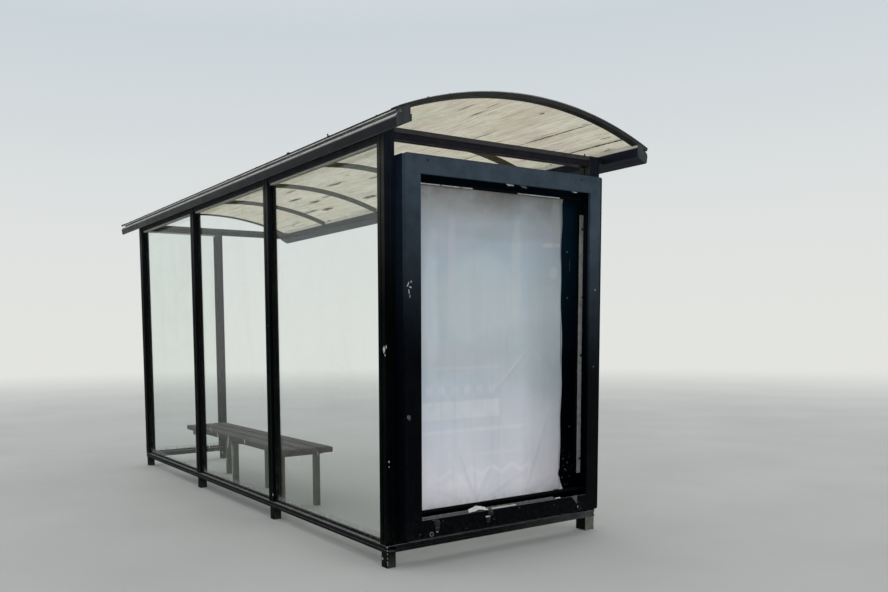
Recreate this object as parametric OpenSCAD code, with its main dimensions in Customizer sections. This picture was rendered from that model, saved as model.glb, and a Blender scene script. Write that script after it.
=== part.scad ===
// Bus shelter of dark painted metal: three glazed bays, a curved translucent roof on
// arched ribs, and a poster case that closes the near end.
// Millimetres, +Z up. +X runs along the shelter, the glazed back wall is at +Y, the open
// front at -Y and the poster case at the -X end. The origin is on the ground under the middle
// of the roof, which reaches further out at the front than at the back.

/* [Frame] */
// Distance from one back post to the next
bay = 1375; // [1200:5:1600]
// Depth over the outer faces of the back and front posts
frame_depth = 1580; // [1450:5:1800]
// Width of a square post
post_w = 65; // [56:1:80]
// Width of the heavier front post beside the poster case
front_post_w = 80; // [65:1:100]
// Height of the post tops above the ground
post_top = 2304; // [2280:1:2500]
// Height of the rails between the back posts
rail_h = 69; // [50:1:90]
// Height of the tie beams across the ends
tie_h = 60; // [50:1:90]
// Thickness of the rails and tie beams
rail_w = 50; // [34:1:54]
// Width of the grooves in posts, rails and sills
groove_w = 10; // [4:1:14]
// Depth of those grooves
groove_d = 4; // [1:0.5:5]
// Wall of the hollow sections beside the grooves
wall = 4; // [2:0.5:6]

/* [Base] */
// Height of the feet under the sills
foot_h = 83; // [40:1:140]
// Width of a square foot
foot_w = 55; // [40:1:56]
// Width of the foot under the front post
front_foot_w = 76; // [50:1:80]
// Height of the sills
sill_h = 40; // [30:1:60]

/* [Roof] */
// Reach of the roof past the end posts
roof_overhang = 250; // [170:5:400]
// Width of the body of an eave beam
eave_w = 85; // [80:1:110]
// Thickness of the fixing flange between the back posts and their eave beam
eave_flange = 10; // [6:1:30]
// Gap between the front posts and their eave beam, bridged by two tabs
front_gap = 45; // [10:1:120]
// Drop of the eave beams below the post tops
eave_drop = 71; // [66:1:90]
// Height of the rounded body of an eave beam
eave_body_h = 70; // [62:1:74]
// Radius of the rounded outer shoulder of an eave beam
shoulder_r = 30; // [20:1:32]
// Rise of the ribs from the eaves to the crown
roof_rise = 141; // [90:1:220]
// Depth of a rib
rib_d = 30; // [24:1:40]
// Width of a rib
rib_w = 30; // [24:1:50]
// Clear height between the rails and the ribs over them
rib_clear = 8; // [2:1:12]
// Width of the two end arches
arch_w = 45; // [34:1:80]
// Depth of an end arch below the roof sheet
arch_d = 10; // [6:1:28]
// Width of the outer rim of an end arch
arch_rim = 10; // [6:1:14]
// Thickness of the cover flange on an end arch
arch_cover = 3; // [2:0.5:6]
// Thickness of the roof sheet
sheet_t = 8; // [6:0.5:12]

/* [Glazing] */
// Thickness of the glass
glass_t = 8; // [6:0.5:12]
// Face width of the rubber bead round a pane
bead_w = 12; // [10:1:20]
// Thickness of the rubber bead
bead_t = 22; // [18:1:30]
// Depth of the slot that holds the glass edge
bead_slot = 7; // [4:1:8]

/* [Poster case] */
// Height of the underside of the case above the ground
case_bottom = 160; // [140:1:190]
// Gap between the case and the tie beam over it
case_gap = 84; // [20:1:150]
// Reach of the closed door past the outer faces of the near posts
case_reach = 95; // [80:1:140]
// Reach of the case to the inside of those faces
case_inside = 60; // [40:1:90]
// Thickness of the case walls
case_wall = 4; // [2:0.5:6]
// Thickness of the door frame
door_t = 28; // [24:1:36]
// Face width of the door frame
door_frame_w = 97; // [80:1:120]
// Gap between the closed door and the case
door_gap = 5; // [5:0.5:8]
// Radius of the outer corners of the door frame
door_corner_r = 12; // [2:1:20]
// Width of the rebate round the door opening, where the missing pane sat
rebate_w = 14; // [8:1:24]
// Depth of that rebate
rebate_d = 12; // [6:1:16]
// Distance of each hinge from the middle of the door
hinge_pos = 480; // [300:5:560]
// Width of a hinge lug
hinge_w = 50; // [30:1:70]
// Radius of the hinge pins
pin_r = 3; // [2:0.5:4]
// Distance of each lock from the middle of the door
lock_pos = 559; // [250:1:580]
// Height of the locks above the underside of the door
lock_up = 18; // [18:1:60]
// Radius of a lock barrel
lock_r = 9; // [6:0.5:14]

/* [Poster] */
// Width of the poster
poster_w = 1165; // [900:5:1200]
// Height of the poster between its two bars
poster_h = 1722; // [1500:2:1740]
// Thickness of the poster film
poster_t = 1.5; // [1:0.5:3]
// Gap between the poster and the side of the case at the back wall
poster_side = 9; // [2:1:60]
// Diameter of the bars that hold the poster
bar_d = 22; // [14:1:28]

/* [Bench] */
// Length of the bench
bench_len = 2000; // [1400:10:2400]
// Distance of the bench middle from the shelter middle along the shelter
bench_shift = 355; // [0:5:400]
// Height of the seat top
bench_h = 450; // [400:5:500]
// Width of a seat slat
slat_w = 112; // [90:1:130]
// Thickness of a seat slat
slat_t = 40; // [25:1:50]
// Gap between the seat slats
slat_gap = 14; // [6:1:24]
// Clear distance from the back posts to the seat
bench_clear = 85; // [40:5:250]
// Width of the square tube of the bench legs
leg_w = 40; // [25:1:50]

/* [Hidden] */
$fn = 96;
// Clearance between fitted pieces
fit = 0.2;
// Overshoot of cuts past the faces that they pass
cut = 1;
BAYS = 3;
RIBS = 4;
SLATS = 3;
LEGS = 3;

frame_len = BAYS * bay + post_w;
half_len = frame_len / 2;
clear_dep = frame_depth - post_w - front_post_w;
sill_top = foot_h + sill_h;
rail_bottom = post_top - rail_h;
post_h = post_top - sill_top;
tie_bottom = post_top - tie_h;
side_post_h = tie_bottom - sill_top;
roof_half = half_len + roof_overhang;

// The roof is the same on both sides of the XZ plane, and the posts stand off to the back.
// The case and the far side post sit in the middle of the clear depth between the near posts.
eave_y = (frame_depth + 2 * eave_w + eave_flange + front_gap) / 2;
web_y = eave_y - eave_w;
back_face = web_y - eave_flange;
front_face = front_gap - web_y;
mid_y = back_face - post_w - clear_dep / 2;

// Ribs: an arc through both eave webs, rising to the crown
rib_in_r = (web_y * web_y + roof_rise * roof_rise) / (2 * roof_rise);
rib_out_r = rib_in_r + rib_d;
arc_z = post_top + rib_clear + roof_rise - rib_in_r;
sheet_in_r = rib_out_r + fit;
sheet_out_r = sheet_in_r + sheet_t;
arch_top_r = sheet_out_r + fit + arch_cover;
arch_in_r = sheet_in_r - arch_d;
rib_pitch = (2 * roof_half - arch_w) / (RIBS + 1);
eave_bottom = post_top - eave_drop;
shoulder_z = eave_bottom + eave_body_h;
lip_t = 6;
cap_t = 4;
sheet_gap = 2;
sheet_edge = eave_y - lip_t / 2;
// Lower corner and slanted underside of an eave beam, and the groove under its lip
eave_slant = 35;
eave_corner = 14;
eave_chamfer = 5;
eave_groove = 8;
flange_h = 33;
flange_z = eave_bottom + eave_slant;
tab_w = 40;

door_x = -half_len - case_reach;
door_back_x = door_x + door_t;
case_x = door_back_x + door_gap;
case_back_x = -half_len + case_inside;
case_w = clear_dep - 2 * fit;
case_top = tie_bottom - case_gap;
case_h = case_top - case_bottom;
open_w = case_w - 2 * door_frame_w;
pivot_in = 6;
pivot_x = door_back_x - pivot_in;
pivot_z = case_top - pivot_in;
bar_x = case_x + bar_d;
poster_top = case_bottom + (case_h + poster_h) / 2;
poster_bottom = poster_top - poster_h;
poster_y = mid_y + case_w / 2 - case_wall - poster_side - poster_w / 2;
upright_w = 34;
upright_t = 20;
upright_h = 1590;
upright_in = 8;
lock_d = 16;
collar_t = 3;
collar_w = 4;
notch_clear = 6;
bar_slot = 6;

bench_back_y = back_face - post_w - bench_clear;
bench_dep = SLATS * slat_w + (SLATS - 1) * slat_gap;
bench_mid_y = bench_back_y - bench_dep / 2;
leg_inset = 180;
bearer_h = 30;

// Square section with a groove in the middle of each face and a hollow core
module grooved_square(size_x, size_y) {
    core_x = size_x - 2 * (groove_d + wall);
    core_y = size_y - 2 * (groove_d + wall);
    difference() {
        square([size_x, size_y], center = true);
        for (s = [-1, 1]) {
            translate([s * size_x / 2, 0]) square([2 * groove_d, groove_w], center = true);
            translate([0, s * size_y / 2]) square([groove_w, 2 * groove_d], center = true);
        }
        square([core_x, core_y], center = true);
    }
}

module post(x, y, width, height) {
    color("#1b1e21") translate([x, y, sill_top]) linear_extrude(height) grooved_square(width, width);
}

function back_post_x(i) = -half_len + post_w / 2 + i * bay;
back_post_y = back_face - post_w / 2;
front_post_x = -half_len + front_post_w / 2;
front_post_y = front_face + front_post_w / 2;

module foot(x, y, width) {
    translate([x - width / 2, y - width / 2, 0]) cube([width, width, foot_h]);
}

module feet() {
    color("#131516") {
        for (i = [0:BAYS]) foot(back_post_x(i), back_post_y, foot_w);
        foot(front_post_x, front_post_y, front_foot_w);
        foot(back_post_x(BAYS), mid_y, foot_w);
    }
}

// Bar along X with its section in the YZ plane
module bar_x_section(x0, x1, y, z, width, height) {
    translate([x0, y, z]) rotate([90, 0, 90]) linear_extrude(x1 - x0) grooved_square(width, height);
}

// Bar along Y with its section in the XZ plane
module bar_y_section(y0, y1, x, z, width, height) {
    translate([x, y1, z]) rotate([90, 0, 0]) linear_extrude(y1 - y0) grooved_square(width, height);
}

module back_sill() {
    color("#24282b") bar_x_section(-half_len, half_len, back_post_y, foot_h + sill_h / 2, post_w, sill_h);
}

// Near end sill, with a pad on its inner side under the wider front post
module near_end_sill() {
    color("#24282b") {
        bar_y_section(front_face, back_face - post_w, back_post_x(0), foot_h + sill_h / 2, post_w, sill_h);
        translate([-half_len + post_w - wall, front_face, foot_h])
            cube([front_post_w - post_w + wall, front_post_w, sill_h]);
    }
}

module far_side_sill() {
    color("#24282b")
        bar_y_section(mid_y - post_w / 2, back_face - post_w, back_post_x(BAYS), foot_h + sill_h / 2,
            post_w, sill_h);
}

module back_top_rail() {
    color("#1d2023") for (i = [0:BAYS - 1])
        bar_x_section(back_post_x(i) + post_w / 2, back_post_x(i + 1) - post_w / 2,
            back_post_y, post_top - rail_h / 2, rail_w, rail_h);
}

module near_tie_beam() {
    color("#1d2023")
        bar_y_section(front_face + front_post_w, back_face - post_w, back_post_x(0), post_top - tie_h / 2,
            rail_w, tie_h);
}

module far_tie_beam() {
    color("#1d2023")
        bar_y_section(front_face, back_face - post_w, back_post_x(BAYS), post_top - tie_h / 2,
            rail_w, tie_h);
}

// Height of a circle about the roof axis at a distance from the centre plane
function arc_height(radius, y) = arc_z + sqrt(radius * radius - y * y);

// Outline of an eave beam in the YZ plane, for the side at +Y
module eave_body(inset) {
    web = web_y + inset;
    out = eave_y - inset;
    low = eave_bottom + inset;
    top = shoulder_z - inset;
    round_r = shoulder_r - inset;
    union() {
        polygon([
            [web, low + eave_slant], [out - eave_corner, low], [out - eave_chamfer, low + eave_chamfer],
            [out, top - round_r], [out - round_r, top], [web, top]
        ]);
        translate([out - round_r, top - round_r]) circle(round_r);
    }
}

// Neck that carries the lip above the groove
module eave_neck(inset) {
    neck = eave_y - shoulder_r - eave_groove - inset;
    low = inset > 0 ? shoulder_z - 2 * wall : shoulder_z - cut;
    under = rib_out_r - lip_t / 2 - inset;
    polygon([
        [web_y + inset, low], [neck, low],
        [neck, arc_height(under, neck)], [web_y + inset, arc_height(under, web_y + inset)]
    ]);
}

// Ring sector between two radii about the roof axis, between two distances from the centre
module ring_band(r0, r1, y0, y1) {
    intersection() {
        translate([0, arc_z]) difference() {
            circle(r1, $fn = 360);
            circle(r0, $fn = 360);
        }
        translate([y0, eave_bottom]) square([y1 - y0, arc_z + r1 - eave_bottom]);
    }
}

module eave_outline(flange) {
    eave_body(0);
    eave_neck(0);
    ring_band(rib_out_r - lip_t, rib_out_r, web_y, sheet_edge);
    translate([web_y - flange, flange_z]) square([flange + cut, flange_h]);
}

module eave_section(flange) {
    difference() {
        eave_outline(flange);
        eave_body(wall);
        eave_neck(wall);
    }
}

module along_x(x0, x1) {
    translate([x0, 0, 0]) rotate([90, 0, 90]) linear_extrude(x1 - x0) children();
}

module back_eave_beam() {
    color("#202326") along_x(-roof_half + cap_t, roof_half - cap_t) eave_section(eave_flange);
}

// Front eave beam with the two tabs that carry it on the front post and the far tie beam
module front_eave_beam() {
    color("#202326") {
        mirror([0, 1, 0]) along_x(-roof_half + cap_t, roof_half - cap_t) eave_section(0);
        for (x = [back_post_x(0), back_post_x(BAYS)])
            translate([x - tab_w / 2, -web_y - wall / 2, flange_z])
                cube([tab_w, front_gap + wall / 2, flange_h]);
    }
}

module eave_end_caps() {
    color("#26292d") for (side = [0, 1]) mirror([0, side, 0]) {
        along_x(-roof_half, -roof_half + cap_t) eave_outline(0);
        along_x(roof_half - cap_t, roof_half) eave_outline(0);
    }
}

// Arc about the roof axis, cut off by upright planes at both sides
module arc_band(r0, r1, x0, x1, reach) {
    intersection() {
        translate([x0, 0, arc_z]) rotate([0, 90, 0]) difference() {
            cylinder(r = r1, h = x1 - x0, $fn = 360);
            translate([0, 0, -cut]) cylinder(r = r0, h = x1 - x0 + 2 * cut, $fn = 360);
        }
        translate([x0 - cut, -reach, eave_bottom])
            cube([x1 - x0 + 2 * cut, 2 * reach, arc_z + r1 + cut - eave_bottom]);
    }
}

// End arch: a flat bar below the sheet, an outer rim and a cover flange over the sheet edge
module end_arch() {
    x0 = -roof_half;
    arc_band(arch_in_r, sheet_in_r, x0, x0 + arch_w, web_y);
    arc_band(sheet_in_r, arch_top_r, x0, x0 + arch_rim, eave_y);
    arc_band(arch_top_r - arch_cover, arch_top_r, x0, x0 + arch_w, eave_y);
}

module near_end_arch() {
    color("#232629") end_arch();
}

module far_end_arch() {
    color("#232629") mirror([1, 0, 0]) end_arch();
}

module roof_rib(i) {
    mid = -roof_half + arch_w / 2 + i * rib_pitch;
    color("#3a3b34") difference() {
        arc_band(rib_in_r, rib_out_r, mid - rib_w / 2, mid + rib_w / 2, web_y);
        arc_band(rib_in_r + wall, rib_out_r - wall,
            mid - rib_w / 2 + wall, mid + rib_w / 2 - wall, web_y + cut);
    }
}

module roof_sheet() {
    edge = roof_half - arch_rim - sheet_gap;
    color("#cfcdb6") arc_band(sheet_in_r, sheet_out_r, -edge, edge, sheet_edge);
}

// Pane in an opening with its lower corner at the origin, width along X and height along Z
module pane(width, height) {
    border = bead_w - bead_slot;
    translate([border, -glass_t / 2, border]) cube([width - 2 * border, glass_t, height - 2 * border]);
}

module bead(width, height) {
    border = bead_w - bead_slot;
    difference() {
        translate([0, -bead_t / 2, 0]) cube([width, bead_t, height]);
        translate([bead_w, -bead_t, bead_w]) cube([width - 2 * bead_w, 2 * bead_t, height - 2 * bead_w]);
        translate([border, -glass_t / 2, border]) cube([width - 2 * border, glass_t, height - 2 * border]);
    }
}

module in_back_bay(i) {
    translate([back_post_x(i) + post_w / 2, back_post_y, sill_top]) children();
}

module in_far_side() {
    translate([back_post_x(BAYS), mid_y + post_w / 2, sill_top]) rotate([0, 0, 90]) children();
}

back_open_w = bay - post_w;
side_open_w = back_face - mid_y - 1.5 * post_w;
back_open_h = rail_bottom - sill_top;
side_open_h = tie_bottom - sill_top;

module back_glass(i) {
    color("#aebcbb", 0.4) in_back_bay(i) pane(back_open_w, back_open_h);
}

module far_side_glass() {
    color("#aebcbb", 0.4) in_far_side() pane(side_open_w, side_open_h);
}

module back_glass_beads() {
    color("#101112") for (i = [0:BAYS - 1]) in_back_bay(i) bead(back_open_w, back_open_h);
}

module far_side_bead() {
    color("#101112") in_far_side() bead(side_open_w, side_open_h);
}

// Box with its middle in Y at a given place, from x0 to x1 and z0 to z1
module slab(x0, x1, y, width, z0, z1) {
    translate([x0, y - width / 2, z0]) cube([x1 - x0, width, z1 - z0]);
}

module poster_case() {
    inner = case_w - 2 * case_wall;
    color("#15181b") difference() {
        slab(case_x, case_back_x, mid_y, case_w, case_bottom, case_top);
        slab(case_x - cut, case_back_x - case_wall, mid_y, inner,
            case_bottom + case_wall, case_top - case_wall);
    }
}

// Upright metal channels on the back of the case, one near each side
module case_uprights() {
    back = case_back_x - case_wall;
    low = case_bottom + (case_h - upright_h) / 2;
    off = case_w / 2 - case_wall - upright_in - upright_w / 2;
    color("#777b7c") for (s = [-1, 1])
        slab(back - upright_t, back, mid_y + s * off, upright_w, low, low + upright_h);
}

// Axis along Y through the pivot of the poster case door
module at_hinges() {
    for (s = [-1, 1]) translate([pivot_x, mid_y + s * hinge_pos, pivot_z]) rotate([90, 0, 0]) children();
}

module at_locks() {
    for (s = [-1, 1]) translate([door_x, mid_y + s * lock_pos, case_bottom + lock_up])
        rotate([0, 90, 0]) children();
}

// Outline of the door in the YZ plane with rounded corners
module door_outline() {
    translate([mid_y, (case_bottom + case_top) / 2]) {
        square([case_w - 2 * door_corner_r, case_h], center = true);
        square([case_w, case_h - 2 * door_corner_r], center = true);
        for (y = [-1, 1], z = [-1, 1])
            translate([y * (case_w / 2 - door_corner_r), z * (case_h / 2 - door_corner_r)]) circle(door_corner_r);
    }
}

// Door frame, its back edge rounded about the pivot and rebated for the missing pane
module case_door() {
    notch_w = hinge_w + 2 * notch_clear;
    color("#2a2f34") difference() {
        intersection() {
            union() {
                slab(door_x, door_back_x, mid_y, case_w, case_bottom, pivot_z);
                slab(door_x, pivot_x, mid_y, case_w, pivot_z - cut, case_top);
                translate([pivot_x, mid_y, pivot_z]) rotate([90, 0, 0])
                    cylinder(r = pivot_in, h = case_w, center = true);
            }
            along_x(door_x - cut, door_back_x + cut) door_outline();
        }
        slab(door_x - cut, door_back_x + cut, mid_y, open_w,
            case_bottom + door_frame_w, case_top - door_frame_w);
        slab(door_back_x - rebate_d, door_back_x + cut, mid_y, open_w + 2 * rebate_w,
            case_bottom + door_frame_w - rebate_w, case_top - door_frame_w + rebate_w);
        at_hinges() cylinder(r = pin_r + fit, h = 2 * hinge_w + 2 * fit, center = true);
        for (s = [-1, 1])
            slab(pivot_x - pivot_in - notch_clear, door_back_x + cut, mid_y + s * hinge_pos, notch_w,
                pivot_z - pivot_in - notch_clear, case_top + cut);
        at_locks() cylinder(r = lock_r, h = 2 * lock_d, center = true);
    }
}

// Hinge lugs on the front edge of the case, each with its pin
module door_hinges() {
    color("#33373a") {
        at_hinges() {
            cylinder(r = pin_r, h = 2 * hinge_w, center = true);
            cylinder(r = pivot_in, h = hinge_w, center = true);
        }
        for (s = [-1, 1])
            slab(pivot_x, case_x, mid_y + s * hinge_pos, hinge_w, pivot_z - pivot_in, pivot_z + pivot_in);
    }
}

module door_locks() {
    color("#8b8f90") at_locks() {
        cylinder(r = lock_r, h = lock_d);
        translate([0, 0, -collar_t]) cylinder(r = lock_r + collar_w, h = collar_t);
    }
}

module poster_film() {
    slab(bar_x - poster_t / 2, bar_x + poster_t / 2, poster_y, poster_w,
        poster_bottom - bar_slot, poster_top + bar_slot);
}

module poster() {
    color("#c3cad2") poster_film();
}

// Round bars between the case sides that hold the top and bottom edges of the poster
module poster_bars() {
    inner = case_w - 2 * case_wall;
    color("#585d60") for (z = [poster_bottom - bar_d / 2, poster_top + bar_d / 2]) difference() {
        translate([bar_x, mid_y, z]) rotate([90, 0, 0]) cylinder(d = bar_d, h = inner, center = true);
        poster_film();
    }
}

module bench_seat() {
    x0 = bench_shift - bench_len / 2;
    color("#7a5a3c") for (i = [0:SLATS - 1])
        translate([x0, bench_back_y - slat_w - i * (slat_w + slat_gap), bench_h - slat_t])
            cube([bench_len, slat_w, slat_t]);
}

module bench_legs() {
    bearer_top = bench_h - slat_t;
    span = bench_len / 2 - leg_inset;
    color("#6f7340") for (i = [0:LEGS - 1]) {
        x = bench_shift + (i - (LEGS - 1) / 2) * span;
        slab(x - leg_w / 2, x + leg_w / 2, bench_mid_y, bench_dep, bearer_top - bearer_h, bearer_top);
        for (s = [-1, 1])
            slab(x - leg_w / 2, x + leg_w / 2, bench_mid_y + s * (bench_dep / 2 - leg_w), leg_w,
                0, bearer_top - bearer_h / 2);
    }
}

post(back_post_x(0), back_post_y, post_w, post_h);  // back_post_1
post(back_post_x(1), back_post_y, post_w, post_h);  // back_post_2
post(back_post_x(2), back_post_y, post_w, post_h);  // back_post_3
post(back_post_x(3), back_post_y, post_w, post_h);  // back_post_4
post(front_post_x, front_post_y, front_post_w, post_h);  // near_front_post
post(back_post_x(BAYS), mid_y, post_w, side_post_h);  // far_side_post
feet();
back_sill();
near_end_sill();
far_side_sill();
back_top_rail();
near_tie_beam();
far_tie_beam();
back_eave_beam();
front_eave_beam();
eave_end_caps();
near_end_arch();
far_end_arch();
roof_rib(1);  // roof_rib_1
roof_rib(2);  // roof_rib_2
roof_rib(3);  // roof_rib_3
roof_rib(4);  // roof_rib_4
roof_sheet();
back_glass(0);  // back_glass_1
back_glass(1);  // back_glass_2
back_glass(2);  // back_glass_3
far_side_glass();
back_glass_beads();
far_side_bead();
poster_case();
case_uprights();
case_door();
door_hinges();
door_locks();
poster();
poster_bars();
bench_seat();
bench_legs();
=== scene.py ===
"""Looks of the bus shelter: paints, glass, film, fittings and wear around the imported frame.

Metres, in the frame's own axes: +Y is the glazed back wall, the poster case closes the -X end.
"""
from math import atan2, cos, exp, hypot, pi, radians, sin, sqrt
from random import Random

import bmesh
import bpy
from mathutils import Matrix, Vector


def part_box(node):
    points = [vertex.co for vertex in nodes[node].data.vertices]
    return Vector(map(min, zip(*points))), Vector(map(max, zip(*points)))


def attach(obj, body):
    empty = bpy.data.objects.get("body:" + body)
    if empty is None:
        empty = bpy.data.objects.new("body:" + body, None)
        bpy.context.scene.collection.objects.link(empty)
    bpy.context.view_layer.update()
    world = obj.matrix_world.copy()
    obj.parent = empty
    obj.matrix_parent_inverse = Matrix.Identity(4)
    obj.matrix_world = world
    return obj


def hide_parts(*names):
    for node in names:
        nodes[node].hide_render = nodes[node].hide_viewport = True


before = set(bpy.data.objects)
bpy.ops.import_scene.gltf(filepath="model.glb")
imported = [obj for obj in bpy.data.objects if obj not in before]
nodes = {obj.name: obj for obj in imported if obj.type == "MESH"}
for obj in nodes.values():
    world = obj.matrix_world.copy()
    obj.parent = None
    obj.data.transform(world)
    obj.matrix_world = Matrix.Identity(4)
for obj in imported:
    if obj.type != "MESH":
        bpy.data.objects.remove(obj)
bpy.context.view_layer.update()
X, Y, Z = Vector((1, 0, 0)), Vector((0, 1, 0)), Vector((0, 0, 1))

# Places read from the frame
door_low, door_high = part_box("case_door")
case_low, case_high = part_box("poster_case")
seat_low, seat_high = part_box("bench_seat")
post_low, post_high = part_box("back_post_1")
front_low, front_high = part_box("near_front_post")
bars_low, bars_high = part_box("poster_bars")
up_low, up_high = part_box("case_uprights")
poster_low, poster_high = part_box("poster")

NEAR_FACE, BACK_FACE = post_low.x, post_high.y
DOOR_X, DOOR_BACK = door_low.x, door_high.x
MID_Y = (door_low.y + door_high.y) / 2
CASE_WALL, DOOR_RAIL, BEAD_W = 0.004, 0.097, 0.012
CASE_BACK = case_high.x - CASE_WALL
OPEN_LOW, OPEN_TOP = door_low.z + DOOR_RAIL, door_high.z - DOOR_RAIL
BAR_X = (bars_low.x + bars_high.x) / 2
BEAD_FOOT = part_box("back_top_rail")[0].z - BEAD_W
PANE_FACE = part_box("back_glass_1")[1].y

# Roof arc: its axis is at height ARC_Z, the sheet lies between two radii
ARC_Z, SHEET_IN, SHEET_T, COVER_T = 0.0126197, 2.4705803, 0.008, 0.0032
SHEET_OUT = SHEET_IN + SHEET_T
COVER_OUT = SHEET_OUT + COVER_T


# Materials
class Nodes:
    """Short calls that build the node tree of a material, or of the world."""

    def __init__(self, name, world=None):
        self.owner = world or bpy.data.materials.new(name)
        self.owner.use_nodes = True
        self.tree = self.owner.node_tree
        self.tree.nodes.clear()
        self.out = self.make("OutputWorld" if world else "OutputMaterial")
        self.coord = self.make("TexCoord").outputs
        self.place = self.coord["Object"]
        self.x, self.y, self.z = self.make("SeparateXYZ", {0: self.place}).outputs
        self.face_x, self.face_y, self.up = self.make("SeparateXYZ", {0: self.coord["Normal"]}).outputs

    def make(self, kind, inputs=None, **settings):
        node = self.tree.nodes.new("ShaderNode" + kind)
        for key, value in settings.items():
            setattr(node, key, value)
        for key, value in (inputs or {}).items():
            socket = node.inputs[key]
            if isinstance(value, bpy.types.NodeSocket):
                self.tree.links.new(value, socket)
            elif socket.type == "RGBA":
                socket.default_value = (*value[:3], 1)
            else:
                socket.default_value = value
        return node

    def get(self, kind, inputs, **settings):
        return self.make(kind, inputs, **settings).outputs[0]

    def math(self, operation, a, b=0.0, clamp=False):
        return self.get("Math", {0: a, 1: b}, operation=operation, use_clamp=clamp)

    def times(self, a, *others):
        for b in others:
            a = self.math("MULTIPLY", a, b)
        return a

    def plus(self, a, *others):
        for b in others:
            a = self.math("ADD", a, b)
        return a

    def less(self, a, b):
        return self.math("SUBTRACT", a, b)

    def most(self, a, *others):
        for b in others:
            a = self.math("MAXIMUM", a, b)
        return a

    def span(self, value, low, high, out_low=0.0, out_high=1.0, kind="LINEAR"):
        """value mapped from low..high to out_low..out_high, and held at both ends."""
        return self.get("MapRange", {0: value, 1: low, 2: high, 3: out_low, 4: out_high}, interpolation_type=kind)

    def window(self, value, low, high, soft):
        """1 between low and high, falling to 0 within soft."""
        return self.times(self.span(value, low - soft, low + soft), self.span(value, high + soft, high - soft))

    def blend(self, factor, a, b, kind="MIX"):
        return self.make("Mix", {0: factor, 6: a, 7: b}, data_type="RGBA", blend_type=kind).outputs[2]

    def layers(self, colour, *coats):
        """Colour under coats of (mask, colour)."""
        for mask, tone in coats:
            colour = self.blend(mask, colour, tone)
        return colour

    def mix(self, factor, a, b):
        return self.get("MixShader", {0: factor, 1: a, 2: b})

    def reach(self, a, b):
        """Length of the vector (a, b)."""
        return self.math("SQRT", self.plus(self.times(a, a), self.times(b, b)))

    def stretched(self, x, y, z):
        return self.get("Mapping", {0: self.place, 3: (x, y, z)})

    def noise(self, scale, detail, rough=0.55, bent=0.0, vector=None):
        inputs = {"Vector": vector or self.place, "Scale": scale, "Detail": detail, "Roughness": rough,
                  "Distortion": bent}
        return self.get("TexNoise", inputs)

    def streaks(self, x, y, z, detail, rough=0.55, bent=0.0):
        """Noise with its own scale along each axis."""
        return self.noise(1, detail, rough, bent, self.stretched(x, y, z))

    def mottle(self, scale, detail, *limits):
        """Noise mapped as span() does."""
        return self.span(self.noise(scale, detail), *limits)

    def cells(self, scale, vector=None):
        return self.get("TexVoronoi", {"Vector": vector or self.place, "Scale": scale})

    def edges(self, radius):
        """Mask that is 1 at sharp edges and 0 on flats, and the softened normal."""
        bevel = self.get("Bevel", {0: radius}, samples=4)
        normal = self.make("NewGeometry").outputs["Normal"]
        dot = self.make("VectorMath", {0: bevel, 1: normal}, operation="DOT_PRODUCT").outputs["Value"]
        return self.math("SUBTRACT", 1, dot, True), bevel

    def bump(self, height, strength, distance, normal=None):
        inputs = {"Strength": strength, "Distance": distance, "Height": height}
        if normal:
            inputs["Normal"] = normal
        return self.get("Bump", inputs)

    def surface(self, colour, rough, shine, normal, **more):
        inputs = {"Base Color": colour, "Roughness": rough, "Specular IOR Level": shine, "Normal": normal}
        return self.get("BsdfPrincipled", {**inputs, **more})

    def coat(self, *parts, **more):
        return self.finish(self.surface(*parts, **more))

    def finish(self, shader):
        self.tree.links.new(shader, self.out.inputs[0])
        return self.owner


def fill_ramp(ramp, stops):
    """Sets a colour ramp from (position, colour) pairs, first and last included."""
    first, last = ramp.elements
    first.position, first.color = stops[0][0], (*stops[0][1], 1)
    last.position, last.color = stops[-1][0], (*stops[-1][1], 1)
    for at, tone in stops[1:-1]:
        ramp.elements.new(at).color = (*tone, 1)


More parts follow.
